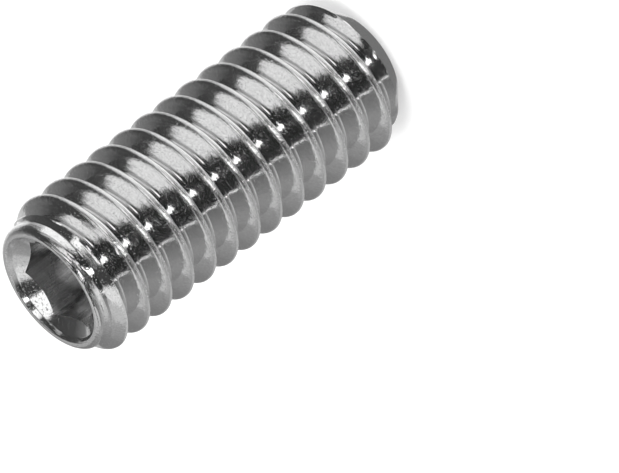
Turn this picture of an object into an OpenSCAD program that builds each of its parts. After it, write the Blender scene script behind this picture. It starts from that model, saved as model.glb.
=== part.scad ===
// Set screw with a hexagon socket and a flat point: M4 coarse thread, 10 mm nominal length.
// It stands on its flat point. The origin is the centre of the point's face, with +Z up the axis.

/* [Thread] */
// Diameter over the crests of the thread
thread_d = 3.88; // [3.8:0.01:4]
// Distance between neighbouring turns
pitch = 0.7; // [0.65:0.01:0.8]
// Height of the thread, from the bottom of the groove to the crest
thread_depth = 0.43; // [0.3:0.01:0.46]
// Width of the crest
crest_w = 0.13; // [0.06:0.01:0.14]
// How far the middle of the crest stands above its two edges
crest_rise = 0.025; // [0.005:0.005:0.03]
// Width of the rounded bottom of the groove
root_w = 0.13; // [0.1:0.01:0.2]
// How far the middle of the groove lies below the feet of the flanks
root_dip = 0.035; // [0.01:0.005:0.05]
// Turn of the thread about the axis
thread_turn = 130; // [0:5:355]

/* [Body] */
// Length from the point's face to the socket's face
screw_l = 9.85; // [6:0.05:12]
// Diameter of the flat point
point_d = 2.5; // [2:0.1:2.8]
// Slope of the chamfer above the point, from the axis
point_slope = 45; // [40:1:60]
// Diameter of the socket's end, before its rim is rounded
face_d = 3.26; // [3.2:0.02:3.5]
// Radius of the rounded rim
rim_round = 0.17; // [0.1:0.01:0.17]
// Length of the slender land behind the rim, where the thread begins
land_h = 0.34; // [0.25:0.01:0.5]
// Slope of the land, from the axis
land_slope = 6; // [2:1:15]
// Slope of the chamfer behind the land, from the axis
face_slope = 52; // [40:1:60]

/* [Socket] */
// Width across the flats of the hexagon
socket_af = 2; // [1.8:0.05:2.1]
// Depth of the hexagon below the face
socket_depth = 2.5; // [1.5:0.1:4]
// Angle across the drilled bottom of the socket
drill_angle = 120; // [90:1:140]
// Diameter of the countersunk mouth at the face
mouth_d = 2.8; // [2.5:0.02:2.9]
// Angle across the countersink
mouth_angle = 90; // [80:1:120]

/* [Quality] */
// Straight steps in one turn of the thread
steps = 48; // [24:4:56]

/* [Hidden] */

steel = "#b9bbbd";
round_fn = 96;
crest_r = thread_d / 2;
root_r = crest_r - thread_depth;

// The thread's outline over one pitch, as [height, radius], from one groove to the next.
// The flanks take what the crest and the groove leave of the pitch.
flank_w = (pitch - crest_w - root_w) / 2;
crest_start = root_w + flank_w;
outline = [
    [0, root_r + root_dip],
    [root_w / 2, root_r],
    [root_w, root_r + root_dip],
    [crest_start, crest_r - crest_rise],
    [crest_start + crest_w / 2, crest_r],
    [crest_start + crest_w, crest_r - crest_rise],
];
stations = len(outline);

// The thread runs past both ends of the screw, by this much, and is cut off there
over = pitch / 2;
turns = ceil((screw_l + 2 * over) / pitch) + 1;
sections = turns * steps;

// A point of the thread: the outline climbs one pitch in each turn
function helix_point(section, station) =
    let (angle = thread_turn + 360 * section / steps)
    let (radius = outline[station][1])
    let (height = outline[station][0] + pitch * (section / steps - 1) - over)
    [radius * cos(angle), radius * sin(angle), height];

// Its place in the list of points. The end of an outline is the start of the next turn's.
function point_id(section, station) =
    station == stations ? point_id(section + steps, 0)
    : section <= sections ? section * stations + station
    : (sections + 1) * stations + section - sections - 1;

// Both triangles between two neighbouring sections and two neighbouring stations
function patch(section, station) =
    let (low = point_id(section, station))
    let (high = point_id(section, station + 1))
    let (next_low = point_id(section + 1, station))
    let (next_high = point_id(section + 1, station + 1))
    [[low, high, next_high], [low, next_high, next_low]];

module thread_rod() {
    thread_points = [
        for (section = [0 : sections]) for (station = [0 : stations - 1])
            helix_point(section, station)
    ];
    last_edge = [for (section = [sections + 1 : sections + steps]) helix_point(section, 0)];
    end_points = [[0, 0, -pitch - over], [0, 0, pitch * turns - over]];
    bottom = len(thread_points) + len(last_edge);
    top = bottom + 1;
    sides = [
        for (section = [0 : sections - 1]) for (station = [0 : stations - 1])
            each patch(section, station)
    ];
    // Each end is a ramp of one turn and the step where the ramp meets itself
    bottom_ramp = [
        for (section = [0 : steps - 1]) [bottom, point_id(section, 0), point_id(section + 1, 0)]
    ];
    bottom_step = [
        for (station = [0 : stations - 1]) [bottom, point_id(0, station + 1), point_id(0, station)]
    ];
    top_ramp = [
        for (section = [sections : sections + steps - 1])
            [top, point_id(section + 1, 0), point_id(section, 0)]
    ];
    top_step = [
        for (station = [0 : stations - 1])
            [top, point_id(sections, station), point_id(sections, station + 1)]
    ];
    polyhedron(
        points = concat(thread_points, last_edge, end_points),
        faces = concat(sides, bottom_ramp, bottom_step, top_ramp, top_step)
    );
}

// The turned outline: a flat point, a chamfer above it, and a chamfer, a land and a rim at the socket's end
module blank() {
    blank_r = crest_r + over;
    rim_reach = rim_round * tan(45 - land_slope / 2);
    land_r = face_d / 2 + land_h * tan(land_slope);
    rotate_extrude($fn = round_fn)
        polygon([
            [0, 0],
            [point_d / 2, 0],
            [blank_r, (blank_r - point_d / 2) / tan(point_slope)],
            [blank_r, screw_l - land_h - (blank_r - land_r) / tan(face_slope)],
            [land_r, screw_l - land_h],
            for (angle = [land_slope : (90 - land_slope) / 4 : 90])
                [
                    face_d / 2 - rim_reach + rim_round * cos(angle),
                    screw_l - rim_round + rim_round * sin(angle),
                ],
            [0, screw_l],
        ]);
}

// The hexagon, the cone that its drill left below it, and the countersink at its mouth
module socket() {
    drill_h = socket_af / 2 / tan(drill_angle / 2);
    mouth_r = mouth_d / 2 + over * tan(mouth_angle / 2);
    mouth_h = mouth_r / tan(mouth_angle / 2);
    translate([0, 0, screw_l - socket_depth])
        cylinder(d = socket_af / cos(30), h = socket_depth + over, $fn = 6);
    translate([0, 0, screw_l - socket_depth - drill_h])
        cylinder(r1 = 0, r2 = socket_af / 2, h = drill_h, $fn = round_fn);
    translate([0, 0, screw_l + over - mouth_h])
        cylinder(r1 = 0, r2 = mouth_r, h = mouth_h, $fn = round_fn);
}

module set_screw() {
    color(steel)
        difference() {
            intersection() {
                thread_rod();
                blank();
            }
            socket();
        }
}

set_screw();
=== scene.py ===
"""Looks of a headless set screw: a smooth rolled thread, two ends, plated steel and a studio."""

import math

import bpy
import numpy as np
from mathutils import Matrix, Vector


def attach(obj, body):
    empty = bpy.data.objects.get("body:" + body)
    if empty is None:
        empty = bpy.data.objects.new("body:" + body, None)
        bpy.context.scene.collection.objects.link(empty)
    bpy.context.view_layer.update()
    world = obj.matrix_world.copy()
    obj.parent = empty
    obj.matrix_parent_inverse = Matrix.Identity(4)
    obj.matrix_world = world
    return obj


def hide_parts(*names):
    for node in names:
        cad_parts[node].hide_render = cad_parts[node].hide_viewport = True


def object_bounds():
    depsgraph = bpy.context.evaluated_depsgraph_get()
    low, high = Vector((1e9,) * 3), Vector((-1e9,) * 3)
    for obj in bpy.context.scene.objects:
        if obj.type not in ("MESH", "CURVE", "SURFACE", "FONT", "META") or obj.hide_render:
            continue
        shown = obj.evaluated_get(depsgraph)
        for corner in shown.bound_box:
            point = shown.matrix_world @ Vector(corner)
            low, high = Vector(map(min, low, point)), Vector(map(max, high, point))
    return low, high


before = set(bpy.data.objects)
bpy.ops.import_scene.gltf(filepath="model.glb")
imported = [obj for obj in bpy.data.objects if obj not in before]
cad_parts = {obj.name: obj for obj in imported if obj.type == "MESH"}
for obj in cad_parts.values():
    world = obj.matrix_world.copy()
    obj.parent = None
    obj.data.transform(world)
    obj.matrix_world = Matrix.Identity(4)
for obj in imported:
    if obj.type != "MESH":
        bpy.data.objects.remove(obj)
cad_low, cad_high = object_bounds()

MM = 0.001

# Sizes of the screw in millimetres and degrees, as in the part or a hair inside it
LENGTH = (cad_high.z - cad_low.z) / MM
CREST_R = 1.938
PITCH = 0.7
THREAD_DEPTH = 0.43
CREST_W = 0.13
ROOT_W = 0.13
THREAD_TURN = 130
POINT_R = 1.25
POINT_SLOPE = 45
FACE_R = 1.63
RIM_ROUND = 0.17
LAND_H = 0.34
FACE_SLOPE = 52
HEX_AF = 2.0
HEX_DEPTH = 2.5
MOUTH_R = 1.4
DRILL_R = 0.98
DRILL_ANGLE = 120

# Finer forms of the thread and of the ends. The seam is a faint groove along the crest's middle.
FLANK_LEAN = 30
CREST_ROUND = 0.1
SEAM_W = 0.02
SEAM_DEPTH = 0.005
FLAT_R = POINT_R - 0.2
POINT_ROUND = 0.06
LAND_SLOPE = 1
MOUTH_ROUND = 0.05
MOUTH_LIP = 0.065
LIP_DEPTH = 0.12
LIP_ROUND = 0.06
CONE_START = 0.07
CONE_SLOPE = 36
BLEND = 0.025

# The mesh: its columns round the axis, the tallest step between its stations, how near an end
# ring a station may lie, and the angle from which an edge is sharp
COLUMNS = 132
STATION_H = 0.035
END_GAP = 0.004
SHARP_ANGLE = 32
NEARLY_STRAIGHT = 89

# How many points each arc has, how many rings the cone and the walls have, and where rings lie
# on the flat point and stations on the seam, as shares of their widths
THREAD_ARC = 9
POINT_ARC = 6
RIM_ARC = 9
LIP_ARC = 5
CONE_RINGS = 6
WALL_RINGS = 12
FLAT_RINGS = (0.75, 0.5, 0.25, 0.05)
SEAM_STATIONS = (0.3, 0.6, 1.0)

# The steel's finishes, as the faces number them, and how deep the turned one reaches at the mouth
ROLLED, TURNED, COUNTERSUNK, BROACHED = range(4)
TURNED_DEPTH = 0.01

# Where the plating is worn: how far below the crests on their socket's side and on their point's
# side, and over what height it grows, in millimetres
WORN_SOCKET_SIDE = 0.012
WORN_POINT_SIDE = 0.045
WORN_GROWTH = 0.015

# Where it is coarse: how far below the crests, over what height it grows there and on the land,
# and the land's share of it
COARSE_REACH = 0.15
COARSE_GROWTH = 0.12
LAND_GROWTH = 0.1
LAND_COARSE = 0.6

# The noise patterns in the steel, as scale and detail, and which pattern the dull patches take
ROUND_LINES = (900.0, 3.0)
AXIAL_LINES = (21600.0, 3.0)
PITS = (21000.0, 1.5)
CLOUDS = (1500.0, 3.0)
SPECKS = (22000.0, 2.0)
FLECKS = (12000.0, 2.0)
PATCHES = (900.0, 2.0)
PATCH_SEED = 1.0

# Lines: how close they lie round the axis, what a metre of height counts beside the place across
# the outline, and how little the axial ones change with height
LINE_DENSITY = 12.0
HEIGHT_WEIGHT = 1200.0
AXIAL_CHANGE = 0.05

# Roughness: the clouds' shares of the gloss, and what lines, wear and specks add to it
CLOUD_RANGE = (0.35, 0.65)
CLOUD_SHARES = (0.6, 1.7)
ROUGH_LINE_RANGE = (0.5, 0.62)
ROUGH_LINES = (0.0, 0.06)
WORN_ROUGHNESS = 0.12
SPECK_ROUGHNESS = 0.12

# Tone and metal: how lines, pits and wear change them
TONE_LINE_RANGE = (0.25, 0.75)
TONE_PIT_RANGE = (0.3, 0.7)
PIT_TONES = (-0.05, 0.05)
WORN_TONE = 0.12
WORN_METAL = -0.15

# Dull patches: the part of their noise that shows, and how lines break them up
PATCH_RANGE = (0.46, 0.64)
PATCH_LINE_RANGE = (0.35, 0.65)
PATCH_LINES = (0.7, 1.0)

# Depths: the part of the specks' noise that shows, and how much deeper lines, pits and specks
# are where the plating is coarse
SPECK_RANGE = (0.62, 0.72)
COARSE_LINES = 5.0
COARSE_PITS = 3.0
COARSE_SPECKS = 0.4
FINE_SPECKS = 0.8

# The photograph: its size, and where the middle of the screw's axis lies in it, in pixels
PHOTO_W = 619
PHOTO_H = 473
AXIS_MIDDLE_X = 205.5
AXIS_MIDDLE_Y = 174.4
PIXELS_PER_MM = 44.22

# The axis runs up to the right in it, and the socket's end leans towards the camera. Angles are
# in degrees, the distance is in metres and the sensor's width in millimetres.
AXIS_RISE = 36.96
AXIS_TILT = 62.3
CAMERA_TURN = 5.6
CAMERA_DISTANCE = 0.4
SENSOR_W = 36

# The studio: how far its cards stand from the screw and how far each layer stands in front of
# the next, in millimetres, and their faces' sizes in degrees and points
CARD_R = 250
LAYER = 8
CARD_STEP_ROUND = 4
CARD_STEP_UP = 6
OVERHEAD_POINTS = 9

# The soft lamp: its size and distance in millimetres, its height in degrees, and its watts
LAMP_SIZE = 60
LAMP_DISTANCE = 150
LAMP_HEIGHT = 55
LAMP_WATTS = 0.12

# The floor: its half width in metres, its tone, and how much of its white shines by itself
FLOOR_REACH = 2.0
FLOOR_TONE = 0.66
FLOOR_ROUGHNESS = 0.9
FLOOR_SHINE = 0.1
FLOOR_GLOW = 0.4


def tan(degrees):
    return math.tan(math.radians(degrees))


def shares(count):
    """Even shares of a whole, from the first step to 1."""
    return np.linspace(0, 1, count + 1)[1:]


def rounded(corners, steps):
    """A line through (x, y, radius) corners, with an arc at each corner that has a radius."""
    line = [np.array(corners[0][:2], float)]
    for before, corner, after in zip(corners, corners[1:], corners[2:]):
        point = np.array(corner[:2], float)
        back = np.array(before[:2], float) - point
        ahead = np.array(after[:2], float) - point
        back /= np.linalg.norm(back)
        ahead /= np.linalg.norm(ahead)
        half = math.acos(np.clip(back @ ahead, -1, 1)) / 2
        radius = corner[2]
        if radius == 0 or half > math.radians(NEARLY_STRAIGHT):
            line.append(point)
            continue
        reach = radius / math.tan(half)
        centre = point + (back + ahead) / np.linalg.norm(back + ahead) * radius / math.sin(half)
        start = point + back * reach - centre
        end = point + ahead * reach - centre
        sweep = math.pi - 2 * half
        for share in np.linspace(0, 1, steps):
            a = math.sin((1 - share) * sweep) / math.sin(sweep)
            b = math.sin(share * sweep) / math.sin(sweep)
            line.append(centre + a * start + b * end)
    line.append(np.array(corners[-1][:2], float))
    return np.array(line)


def thread_outline():
    """One pitch of the thread, from the middle of a crest to the next, as heights and radii.

    The crest is a round nose with a seam, and the root is a round trough between the flanks.
    """
    root = CREST_R - THREAD_DEPTH
    corner = CREST_ROUND * tan(FLANK_LEAN)
    foot = corner + THREAD_DEPTH * tan(FLANK_LEAN)
    root_round = (PITCH / 2 - foot) / tan(FLANK_LEAN)
    half = rounded(
        [
            (0, CREST_R, 0),
            (corner, CREST_R, CREST_ROUND),
            (foot, root, root_round),
            (PITCH / 2, root, 0),
        ],
        THREAD_ARC,
    )
    fine = [half[0]]
    for a, b in zip(half, half[1:]):
        cuts = max(1, math.ceil(abs(b[0] - a[0]) / STATION_H))
        fine += [a + (b - a) * (i + 1) / cuts for i in range(cuts)]
    fine = np.array(fine)
    seam = {round(SEAM_W * share, 6) for share in SEAM_STATIONS}
    heights = sorted(set(fine[:, 0].round(6)) | seam)
    radii = np.interp(heights, fine[:, 0], fine[:, 1])
    radii -= SEAM_DEPTH * np.exp(-((np.array(heights) / SEAM_W * 2) ** 2))
    line = np.stack([heights, radii], 1)
    other = line[-2:0:-1] * (-1, 1) + (PITCH, 0)
    return np.vstack([line, other])


def body_radius(height):
    """The turned outline that cuts the thread at both ends."""
    depth = LENGTH - height
    point = POINT_R + height * tan(POINT_SLOPE)
    chamfer = np.maximum(depth - LAND_H, 0) * (tan(FACE_SLOPE) - tan(LAND_SLOPE))
    return np.minimum(point, FACE_R + depth * tan(LAND_SLOPE) + chamfer)


def softer_least(a, b):
    """The lesser of two radii, with the corner between them rounded."""
    near = np.clip(0.5 + (b - a) / (2 * BLEND), 0, 1)
    return b + (a - b) * near - BLEND * near * (1 - near)


def rim_line():
    """The rounded rim, from its foot on the land to the flat face, as (radius, depth) points."""
    reach = RIM_ROUND * tan(45 - LAND_SLOPE / 2)
    line = []
    for angle in np.radians(np.linspace(LAND_SLOPE, 90, RIM_ARC)):
        radius = FACE_R - reach + RIM_ROUND * math.cos(angle)
        line.append((radius, RIM_ROUND * (1 - math.sin(angle))))
    return line


def lip_line():
    """The lip at the mouth, from the face to the start of the cone, as (radius, height) points.

    Heights count from the face, and are negative.
    """
    inner = MOUTH_R - MOUTH_LIP
    return rounded(
        [
            (MOUTH_R + MOUTH_ROUND, 0, 0),
            (MOUTH_R, 0, MOUTH_ROUND),
            (inner, -LIP_DEPTH, LIP_ROUND),
            (inner - CONE_START, -LIP_DEPTH - CONE_START * tan(CONE_SLOPE), 0),
        ],
        LIP_ARC,
    )


def hexagon():
    """The distance from the axis to the hexagon's wall in each column. Column 0 is a corner."""
    angles = 360 * np.arange(COLUMNS) / COLUMNS
    from_flat = np.mod(angles, 60) - 30
    return HEX_AF / 2 / np.cos(np.radians(from_flat))


class Skin:
    """Points, faces, the finish of each face, and how far across the outline each point lies."""

    def __init__(self):
        self.points = []
        self.across = []
        self.faces = []
        self.finishes = []

    def ring(self, radii, height, across):
        """One closed ring of points, one for each column."""
        start = len(self.points)
        angles = 2 * math.pi * np.arange(COLUMNS) / COLUMNS
        radii = np.broadcast_to(radii, COLUMNS)
        heights = np.broadcast_to(height, COLUMNS)
        circle = [radii * np.cos(angles), radii * np.sin(angles), heights]
        self.points += list(np.stack(circle, 1))
        self.across += [across] * COLUMNS
        return np.arange(start, start + COLUMNS)

    def band(self, low, high, finish):
        """Faces between two rings, facing away from the axis where high lies above low."""
        for i in range(COLUMNS):
            j = (i + 1) % COLUMNS
            self.faces.append((low[i], low[j], high[j], high[i]))
            self.finishes.append(finish)

    def wrap(self, edge, rows, finish):
        """Bands from an edge through (radii, height, across) rows. It returns the last ring."""
        for row in rows:
            ring = self.ring(*row)
            self.band(edge, ring, finish)
            edge = ring
        return edge

    def stitch(self, here, there, finish):
        """Faces between two upright columns, whose names repeat where points fall together."""
        for row in range(len(here) - 1):
            corners = [here[row], there[row], there[row + 1], here[row + 1]]
            corners = [c for k, c in enumerate(corners) if c != corners[k - 1]]
            if len(corners) > 2 and len(set(corners)) == len(corners):
                self.faces.append(tuple(corners))
                self.finishes.append(finish)

    def fan(self, edge, height, finish, upward):
        """Faces from a ring to a point on the axis."""
        tip = len(self.points)
        self.points.append(np.array([0, 0, height]))
        self.across.append(0)
        for i in range(COLUMNS):
            j = (i + 1) % COLUMNS
            self.faces.append((edge[i], edge[j], tip) if upward else (edge[j], edge[i], tip))
            self.finishes.append(finish)


def add_thread(skin):
    """The thread between the two ends.

    It returns the rings at its lower and upper edge, and the thread's radii at any height.
    """
    outline = thread_outline()
    stations = len(outline)
    low = POINT_ROUND
    high = LENGTH - rim_line()[0][1]
    flank = (PITCH - CREST_W - ROOT_W) / 2
    crest_at = ROOT_W + flank + CREST_W / 2 - 1.5 * PITCH - PITCH * THREAD_TURN / 360

    # Turns enough to reach past both ends. Each column's stations lie a step higher up the helix.
    first = math.floor((low - crest_at) / PITCH) - 2
    turns = math.ceil(LENGTH / PITCH) + 4
    columns = np.arange(COLUMNS)
    angles = 2 * math.pi * columns / COLUMNS
    heights = crest_at + PITCH * (first + np.arange(turns)[:, None]) + outline[:, 0]
    heights = heights.ravel()[None, :] + (PITCH * columns / COLUMNS)[:, None]
    radii = np.tile(outline[:, 1], turns)
    across = np.tile(np.arange(stations) / stations, turns)
    inside = (heights > low + END_GAP) & (heights < high - END_GAP)

    one_pitch = np.append(outline[:, 0], PITCH)
    one_pitch_radii = np.append(outline[:, 1], outline[0, 1])

    def thread_radius(height):
        phase = np.mod(height - crest_at - PITCH * columns / COLUMNS, PITCH)
        return np.interp(phase, one_pitch, one_pitch_radii)

    bottom = skin.ring(softer_least(thread_radius(low), body_radius(low)), low, 0)
    top = skin.ring(softer_least(thread_radius(high), body_radius(high)), high, 0)

    # Each station's point has a name. Stations past an end share the name of its ring's point.
    names = np.full(heights.shape, -1)
    for i in columns:
        rows = np.nonzero(inside[i])[0]
        start = len(skin.points)
        radius = softer_least(radii[rows], body_radius(heights[i, rows]))
        x, y = radius * math.cos(angles[i]), radius * math.sin(angles[i])
        skin.points += list(np.stack([x, y, heights[i, rows]], 1))
        skin.across += list(across[rows])
        names[i, : rows[0]] = bottom[i]
        names[i, rows] = start + np.arange(len(rows))
        names[i, rows[-1] + 1 :] = top[i]
    for here, there in zip(names, names[1:]):
        skin.stitch(here, there, ROLLED)
    # The last column meets the first one a pitch higher
    skin.stitch(names[-1][:-stations], names[0][stations:], ROLLED)
    return bottom, top, thread_radius


def add_point(skin, edge):
    """The flat point, with its rounded edge."""
    radius = POINT_R + POINT_ROUND * tan(POINT_SLOPE)
    corners = [(radius, POINT_ROUND, 0), (POINT_R, 0, POINT_ROUND), (FLAT_R, 0, 0)]
    edge_line = rounded(corners, POINT_ARC)
    flat_line = [(share * FLAT_R, 0) for share in FLAT_RINGS]
    for x, z in [*edge_line[1:], *flat_line]:
        ring = skin.ring(x, z, x)
        skin.band(ring, edge, TURNED)
        edge = ring
    skin.fan(edge, 0, TURNED, False)


def add_socket(skin, edge, thread_radius):
    """The face round the socket, the countersink, the hexagon and its drilled bottom."""
    rim = []
    for x, depth in rim_line()[1:]:
        rim.append((softer_least(thread_radius(LENGTH - depth), x), LENGTH - depth, x))
    edge = skin.wrap(edge, rim, TURNED)

    lip = lip_line()
    face = [(x, LENGTH + z, x) for x, z in lip if z > -TURNED_DEPTH]
    bevel = [(x, LENGTH + z, x) for x, z in lip if z <= -TURNED_DEPTH]
    edge = skin.wrap(edge, face, TURNED)
    edge = skin.wrap(edge, bevel, COUNTERSUNK)

    wall = hexagon()
    start, level = lip[-1]
    cone = []
    for share in shares(CONE_RINGS):
        radius = start + (wall - start) * share
        cone.append((radius, LENGTH + level - (start - radius) * tan(CONE_SLOPE), 1 + share))
    edge = skin.wrap(edge, cone, COUNTERSUNK)

    mouth = LENGTH + level - (start - wall) * tan(CONE_SLOPE)
    bottom = LENGTH - HEX_DEPTH
    walls = [(wall, mouth + (bottom - mouth) * share, 2) for share in shares(WALL_RINGS)]
    edge = skin.wrap(edge, walls, BROACHED)
    edge = skin.wrap(edge, [(DRILL_R, bottom, 3)], BROACHED)
    skin.fan(edge, bottom - DRILL_R / tan(DRILL_ANGLE / 2), BROACHED, True)


def add_values(mesh, name, values):
    """A number for each point of a mesh, which its material reads."""
    attribute = mesh.attributes.new(name, "FLOAT", "POINT")
    attribute.data.foreach_set("value", np.array(values, np.float32))


def build_screw():
    skin = Skin()
    bottom, top, thread_radius = add_thread(skin)
    add_point(skin, bottom)
    add_socket(skin, top, thread_radius)
    points = np.array(skin.points)
    mesh = bpy.data.meshes.new("screw")
    mesh.from_pydata((points * MM).tolist(), [], skin.faces)
    mesh.polygons.foreach_set("material_index", skin.finishes)
    mesh.polygons.foreach_set("use_smooth", [True] * len(skin.faces))

    above_crest = np.hypot(*points[:, :2].T) - CREST_R
    # The first half of each pitch is the crest's side towards the socket
    socket_side = np.array(skin.across) < 0.5
    worn_reach = np.where(socket_side, WORN_SOCKET_SIDE, WORN_POINT_SIDE)
    crests = np.clip((above_crest + COARSE_REACH) / COARSE_GROWTH, 0, 1)
    land = np.clip((points[:, 2] - LENGTH + LAND_H) / LAND_GROWTH, 0, 1)
    land *= above_crest > MOUTH_R - CREST_R
    add_values(mesh, "across", skin.across)
    add_values(mesh, "worn", np.clip((above_crest + worn_reach) / WORN_GROWTH, 0, 1))
    add_values(mesh, "coarse", np.maximum(crests, LAND_COARSE * land))

    mesh.update()
    mesh.set_sharp_from_angle(angle=math.radians(SHARP_ANGLE))
    screw = bpy.data.objects.new("screw", mesh)
    bpy.context.scene.collection.objects.link(screw)
    return screw


class Nodes:
    """A short way to write a material's nodes."""

    def __init__(self, name):
        self.material = bpy.data.materials.new(name)
        self.material.use_nodes = True
        self.tree = self.material.node_tree
        self.shader = self.tree.nodes["Principled BSDF"]

    def put(self, socket, value):
        if isinstance(value, bpy.types.NodeSocket):
            self.tree.links.new(value, socket)
        else:
            socket.default_value = value

    def shade(self, **inputs):
        """Sets the shader's own inputs."""
        for key, value in inputs.items():
            self.put(self.shader.inputs[key.replace("_", " ")], value)

    def add(self, kind, settings=None, **inputs):
        node = self.tree.nodes.new(kind)
        for key, value in (settings or {}).items():
            setattr(node, key, value)
        for key, value in inputs.items():
            self.put(node.inputs[key.replace("_", " ")], value)
        return node

    def attribute(self, name):
        return self.add("ShaderNodeAttribute", {"attribute_name": name}).outputs["Fac"]

    def math(self, operation, *values):
        node = self.add("ShaderNodeMath", {"operation": operation})
        for socket, value in zip(node.inputs, values):
            self.put(socket, value)
        return node.outputs["Value"]

    def spread(self, value, source, target):
        """The value, mapped from the source's two ends to the target's and held between them."""
        node = self.add("ShaderNodeMapRange", Value=value)
        for name, end in zip(("From Min", "From Max", "To Min", "To Max"), (*source, *target)):
            self.put(node.inputs[name], end)
        return node.outputs["Result"]

    def noise(self, vector, scale, detail, fourth=None):
        node = self.add("ShaderNodeTexNoise", Vector=vector, Scale=scale, Detail=detail)
        if fourth is not None:
            node.noise_dimensions = "4D"
            self.put(node.inputs["W"], fourth)
        return node.outputs["Fac"]

    def bump(self, height, depth, normal):
        """Relief of a depth in millimetres, on top of another normal where there is one."""
        node = self.add("ShaderNodeBump", Height=height, Distance=depth * MM, Strength=1.0)
        if normal is not None:
            self.put(node.inputs["Normal"], normal)
        return node.outputs["Normal"]

    def grey(self, value):
        color = self.add("ShaderNodeCombineColor", Red=value, Green=value, Blue=value)
        return color.outputs["Color"]


def streaks(nodes, place, axial):
    """Fine lines that run round the axis with the thread and the rings, or along the axis."""
    parts = nodes.add("ShaderNodeSeparateXYZ", Vector=place).outputs
    if axial:
        slow = nodes.math("MULTIPLY", parts["Z"], AXIAL_CHANGE)
        vector = nodes.add("ShaderNodeCombineXYZ", X=parts["X"], Y=parts["Y"], Z=slow)
        return nodes.noise(vector.outputs["Vector"], *AXIAL_LINES)
    across = nodes.math("MULTIPLY_ADD", parts["Z"], HEIGHT_WEIGHT, nodes.attribute("across"))
    across = nodes.math("MULTIPLY", across, LINE_DENSITY)
    vector = nodes.add("ShaderNodeCombineXYZ", X=parts["X"], Y=parts["Y"])
    return nodes.noise(vector.outputs["Vector"], *ROUND_LINES, across)


def steel(name, tones, gloss, groove, grain, speckle, fleck=0.0, dull=0.0, axial=False):
    """Bright plated steel: its tones, its roughness, and the depths of its marks in millimetres.

    The marks are the lines that a tool left, a fine grain, sparse specks and broader flecks.
    """
    nodes = Nodes(name)
    place = nodes.add("ShaderNodeTexCoord").outputs["Object"]
    line = streaks(nodes, place, axial)
    pit = nodes.noise(place, *PITS)
    worn = nodes.attribute("worn")
    coarse = nodes.attribute("coarse")
    speck = nodes.spread(nodes.noise(place, *SPECKS), SPECK_RANGE, (0.0, 1.0))

    cloud_gloss = [gloss * share for share in CLOUD_SHARES]
    rough = nodes.spread(nodes.noise(place, *CLOUDS), CLOUD_RANGE, cloud_gloss)
    rough = nodes.math("ADD", rough, nodes.spread(line, ROUGH_LINE_RANGE, ROUGH_LINES))
    rough = nodes.math("MULTIPLY_ADD", worn, WORN_ROUGHNESS, rough)
    rough = nodes.math("MULTIPLY_ADD", speck, SPECK_ROUGHNESS, rough)

    tone = nodes.spread(line, TONE_LINE_RANGE, tones)
    tone = nodes.math("MULTIPLY_ADD", worn, WORN_TONE, tone)
    tone = nodes.math("ADD", tone, nodes.spread(pit, TONE_PIT_RANGE, PIT_TONES))

    metallic = nodes.math("MULTIPLY_ADD", worn, WORN_METAL, 1.0)
    if dull:
        dulled = nodes.spread(nodes.noise(place, *PATCHES, PATCH_SEED), PATCH_RANGE, (0.0, dull))
        broken = nodes.spread(line, PATCH_LINE_RANGE, PATCH_LINES)
        metallic = nodes.math("SUBTRACT", metallic, nodes.math("MULTIPLY", dulled, broken))

    # Each mark's pattern, how strong it is from place to place, and its depth
    very_coarse = nodes.math("MULTIPLY", coarse, coarse)
    relief = (
        (line, nodes.math("MULTIPLY_ADD", very_coarse, COARSE_LINES, 1.0), groove),
        (pit, nodes.math("MULTIPLY_ADD", coarse, COARSE_PITS, 1.0), grain),
        (speck, nodes.math("MULTIPLY_ADD", coarse, COARSE_SPECKS, FINE_SPECKS), speckle),
        (nodes.noise(place, *FLECKS), coarse, fleck),
    )
    normal = None
    for pattern, weight, depth in relief:
        normal = nodes.bump(nodes.math("MULTIPLY", pattern, weight), depth, normal)

    nodes.shade(Roughness=rough, Base_Color=nodes.grey(tone), Metallic=metallic, Normal=normal)
    return nodes.material


def add_steel(screw):
    """The four finishes, in the order of their numbers."""
    finishes = (
        steel(
            "rolled_steel", (0.72, 0.84), 0.05,
            groove=0.00015, grain=0.0006, speckle=0.0014, fleck=0.006,
        ),
        steel(
            "turned_steel", (0.68, 0.82), 0.08,
            groove=0.0002, grain=0.0009, speckle=0.002, fleck=0.006,
        ),
        steel(
            "countersunk_steel", (0.7, 0.84), 0.06,
            groove=0.0002, grain=0.0011, speckle=0.003,
        ),
        steel(
            "broached_steel", (0.55, 0.75), 0.22,
            groove=0.0008, grain=0.0008, speckle=0.002, dull=0.85, axial=True,
        ),
    )
    for material in finishes:
        screw.data.materials.append(material)


def axes():
    """The screw's own directions in the picture: out of the face, towards the camera and across."""
    turn = math.radians(CAMERA_TURN)
    out = Vector((0, 0, 1))
    front = Vector((math.sin(turn), -math.cos(turn), 0))
    return out, front, out.cross(front)


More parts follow.
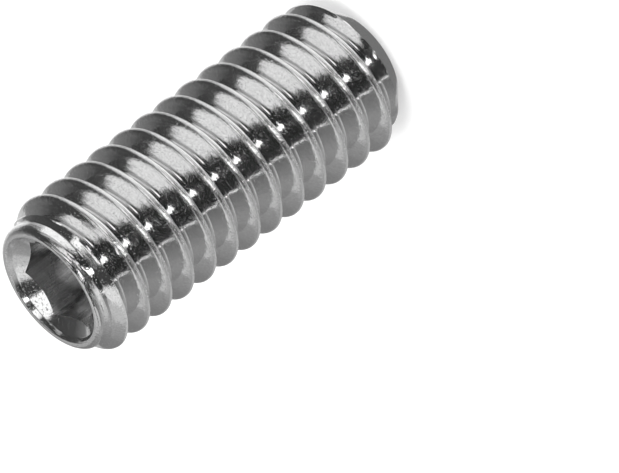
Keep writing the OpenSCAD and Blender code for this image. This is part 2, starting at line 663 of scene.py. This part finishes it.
def add_camera():
    out, front, side = axes()
    tilt = math.radians(AXIS_TILT)
    rise = math.radians(AXIS_RISE)
    back = front * math.sin(tilt) + out * math.cos(tilt)
    along = front * math.cos(tilt) - out * math.sin(tilt)
    right = along * math.cos(rise) - side * math.sin(rise)
    up = along * math.sin(rise) + side * math.cos(rise)
    data = bpy.data.cameras.new("camera")
    data.sensor_width = SENSOR_W
    data.lens = SENSOR_W * CAMERA_DISTANCE / (PHOTO_W / PIXELS_PER_MM * MM)
    data.clip_start = 0.01
    data.clip_end = 10
    camera = bpy.data.objects.new("camera", data)
    shift_x = (AXIS_MIDDLE_X - PHOTO_W / 2) / PIXELS_PER_MM * MM
    shift_y = (PHOTO_H / 2 - AXIS_MIDDLE_Y) / PIXELS_PER_MM * MM
    middle = Vector((0, 0, LENGTH / 2 * MM))
    place = middle - right * shift_x - up * shift_y + back * CAMERA_DISTANCE
    turned = Matrix((right, up, back)).transposed()
    camera.matrix_world = Matrix.Translation(place) @ turned.to_4x4()
    bpy.context.scene.collection.objects.link(camera)
    bpy.context.scene.camera = camera


def card(name, rows, strengths):
    """A card or softbox that the steel mirrors, unseen by the camera, through rows of points.

    Its strength runs from one side to the other.
    """
    wide = len(rows[0])
    faces = []
    for j in range(len(rows) - 1):
        for i in range(wide - 1):
            first = j * wide + i
            faces.append((first, first + 1, first + wide + 1, first + wide))
    mesh = bpy.data.meshes.new(name)
    mesh.from_pydata([point for row in rows for point in row], [], faces)
    add_values(mesh, "strength", np.tile(np.linspace(*strengths, wide), len(rows)))
    material = bpy.data.materials.new(name)
    material.use_nodes = True
    material.cycles.emission_sampling = "NONE"
    tree = material.node_tree
    tree.nodes.clear()
    value = tree.nodes.new("ShaderNodeAttribute")
    value.attribute_name = "strength"
    light = tree.nodes.new("ShaderNodeEmission")
    output = tree.nodes.new("ShaderNodeOutputMaterial")
    tree.links.new(value.outputs["Fac"], light.inputs["Strength"])
    tree.links.new(light.outputs["Emission"], output.inputs["Surface"])
    mesh.materials.append(material)
    piece = bpy.data.objects.new(name, mesh)
    bpy.context.scene.collection.objects.link(piece)
    piece.visible_camera = False
    piece.visible_diffuse = False
    piece.visible_shadow = False


def card_point(way, layer):
    """The point of a card that lies in one direction from the middle of the screw."""
    out, _, _ = axes()
    return (way * (CARD_R - LAYER * layer) + out * LENGTH / 2) * MM


def patch(name, sides, low, high, strengths, layer=0):
    """A card that is part of a sphere round the screw, between two sides and two heights.

    Sides count from the front to the left, in degrees. A height is one number, or one for each
    side. A card with a higher layer stands in front.
    """
    out, front, side = axes()
    columns = max(2, math.ceil((sides[1] - sides[0]) / CARD_STEP_ROUND)) + 1
    low = np.linspace(*np.broadcast_to(low, 2), columns)
    high = np.linspace(*np.broadcast_to(high, 2), columns)
    count = max(2, math.ceil((high - low).max() / CARD_STEP_UP)) + 1
    angles = np.radians(np.linspace(*sides, columns))
    rows = []
    for share in np.linspace(0, 1, count):
        row = []
        for angle, height in zip(angles, np.radians(low + (high - low) * share)):
            way = front * math.cos(angle) + side * math.sin(angle)
            way = way * math.cos(height) + out * math.sin(height)
            row.append(card_point(way, layer))
        rows.append(row)
    card(name, rows, strengths)


def overhead(name, place, size, strength, layer=1):
    """A card overhead.

    Its place and size are in degrees from straight up: to the side, and towards the camera.
    """
    out, front, side = axes()
    rows = []
    for y in np.linspace(-0.5, 0.5, OVERHEAD_POINTS):
        row = []
        for x in np.linspace(-0.5, 0.5, OVERHEAD_POINTS):
            across = math.radians(place[0] + x * size[0])
            ahead = math.radians(place[1] + y * size[1])
            lean = math.hypot(across, ahead)
            level = math.sin(lean) / lean if lean else 1.0
            way = side * (across * level) + front * (ahead * level) + out * math.cos(lean)
            row.append(card_point(way, layer))
        rows.append(row)
    card(name, rows, (strength, strength))


def add_cards():
    patch("surround", (0, 360), -90, 90, (0.1, 0.1), -1)
    # In front: a black flag with a strip light and a thin glint in it, and the tall key light
    patch("front_flag", (-48, 32), -90, 35, (0.035, 0.035))
    patch("front_flag_high", (-48, 12), 35, 62, (0.14, 0.08))
    patch("strip_light", (-18, -10.5), -28, 62, (3.5, 3.0), 1)
    patch("glint", (-55, -52.5), -60, 0, (1.8, 1.8), 1)
    patch("key_light", (12, 32), 8, 62, (1.6, 1.0), 1)
    # On the left: the bright floor ends along a slanting line, with a grey wall behind it. The
    # socket's lip mirrors the dark gap in the wall.
    patch("left_bright_near", (12.5, 26), -90, (-34.5, -27), (1.05, 1.15), 3)
    patch("left_bright", (26, 95), -90, (-27, -9.5), (1.15, 1.15), 3)
    patch("left_soft", (28, 70), -30, (-23.5, -12), (0.5, 0.7), 2)
    patch("left_shade", (32, 42), -30, 0, (0.1, 0.45), 1)
    patch("left_grey", (42, 76), -30, 0, (0.45, 0.5), 1)
    patch("left_end", (76, 95), -30, 0, (0.4, 0.08), 1)
    patch("left_low", (32, 84), 0, 20, (0.75, 0.55))
    patch("left_middle", (32, 84), 20, 26, (0.9, 0.4))
    patch("left_gap", (32, 84), 26, 40, (0.06, 0.04))
    patch("left_high", (32, 84), 40, 62, (0.8, 0.2))
    patch("far_left_floor", (95, 130), -90, -25, (0.75, 0.4))
    patch("far_left_low", (95, 130), -25, -3, (0.08, 0.12))
    patch("far_left_flag", (84, 128), -3, 62, (0.05, 0.08))
    # Behind and on the right: broad grey cards
    patch("back_left_floor", (130, 168), -90, -2, (0.7, 1.3))
    patch("back_left_low", (128, 168), -2, 15, (0.3, 0.8))
    patch("back_left_middle", (128, 168), 15, 35, (0.08, 0.35))
    patch("back_left_high", (128, 168), 35, 62, (0.05, 0.4))
    patch("back_floor", (168, 192), -90, 0, (0.9, 0.45))
    patch("back_low", (168, 192), 0, 15, (0.6, 0.25))
    patch("back_middle", (168, 192), 15, 35, (0.45, 0.45))
    patch("back_high", (168, 192), 35, 62, (0.7, 0.8))
    patch("right_floor", (-168, -96), -90, -5, (0.36, 0.4))
    patch("right_low", (-168, -84), -5, 15, (0.22, 0.44))
    patch("right_middle", (-168, -84), 15, 35, (0.22, 0.6))
    patch("right_high", (-168, -84), 35, 62, (0.6, 0.6))
    patch("side_floor", (-96, -60), -90, 0, (0.38, 0.22))
    patch("corner_floor", (-60, -48), -90, 0, (0.2, 0.06))
    patch("corner_low", (-84, -60), 0, 62, (0.55, 0.45))
    patch("corner_high", (-60, -48), 0, 62, (0.4, 0.12))
    # Below: the dim floor that the chamfer at the point mirrors
    patch("under_floor", (90, 265), -90, -42, (0.2, 0.2), 4)
    # Overhead: a dim ceiling with a softbox on the right and a lamp on the left
    overhead("ceiling", (0, 0), (64, 64), 0.06)
    overhead("top_softbox", (-31, -4), (12, 40), 0.9, 2)
    overhead("top_lamp", (8, 5), (28, 14), 1.3, 2)


def add_lamp():
    """A soft lamp in front and above, which lights matt steel and the floor but isn't mirrored."""
    out, front, _ = axes()
    data = bpy.data.lights.new("soft_lamp", "AREA")
    data.shape = "DISK"
    data.size = LAMP_SIZE * MM
    data.energy = LAMP_WATTS
    height = math.radians(LAMP_HEIGHT)
    way = front * math.cos(height) + out * math.sin(height)
    aim = way.to_track_quat("Z", "Y").to_matrix().to_4x4()
    lamp = bpy.data.objects.new("soft_lamp", data)
    lamp.matrix_world = Matrix.Translation(way * LAMP_DISTANCE * MM) @ aim
    lamp.visible_glossy = False
    bpy.context.scene.collection.objects.link(lamp)


def add_floor():
    """A pale floor, whose own glow reaches only camera, mirrored and transmitted rays."""
    nodes = Nodes("pale_floor")
    rays = nodes.add("ShaderNodeLightPath").outputs
    seen = nodes.math("MAXIMUM", rays["Is Camera Ray"], rays["Is Glossy Ray"])
    seen = nodes.math("MAXIMUM", seen, rays["Is Transmission Ray"])
    nodes.shade(
        Base_Color=(FLOOR_TONE, FLOOR_TONE, FLOOR_TONE, 1),
        Roughness=FLOOR_ROUGHNESS,
        Specular_IOR_Level=FLOOR_SHINE,
        Emission_Color=(1, 1, 1, 1),
        Emission_Strength=nodes.math("MULTIPLY", seen, FLOOR_GLOW),
    )
    mesh = bpy.data.meshes.new("floor")
    sides = ((-1, -1), (1, -1), (1, 1), (-1, 1))
    corners = [(FLOOR_REACH * x, FLOOR_REACH * y, 0) for x, y in sides]
    mesh.from_pydata(corners, [], [(0, 1, 2, 3)])
    floor = bpy.data.objects.new("floor", mesh)
    floor.data.materials.append(nodes.material)
    bpy.context.scene.collection.objects.link(floor)
    floor.visible_glossy = False


def set_world():
    world = bpy.data.worlds.new("studio")
    bpy.context.scene.world = world
    world.use_nodes = True
    background = world.node_tree.nodes["Background"]
    background.inputs["Color"].default_value = (1, 1, 1, 1)
    background.inputs["Strength"].default_value = 1.0


add_camera()
screw = build_screw()
add_steel(screw)
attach(screw, "root")
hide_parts("set_screw")
add_cards()
add_lamp()
add_floor()
set_world()
bpy.context.scene.view_settings.view_transform = "Standard"
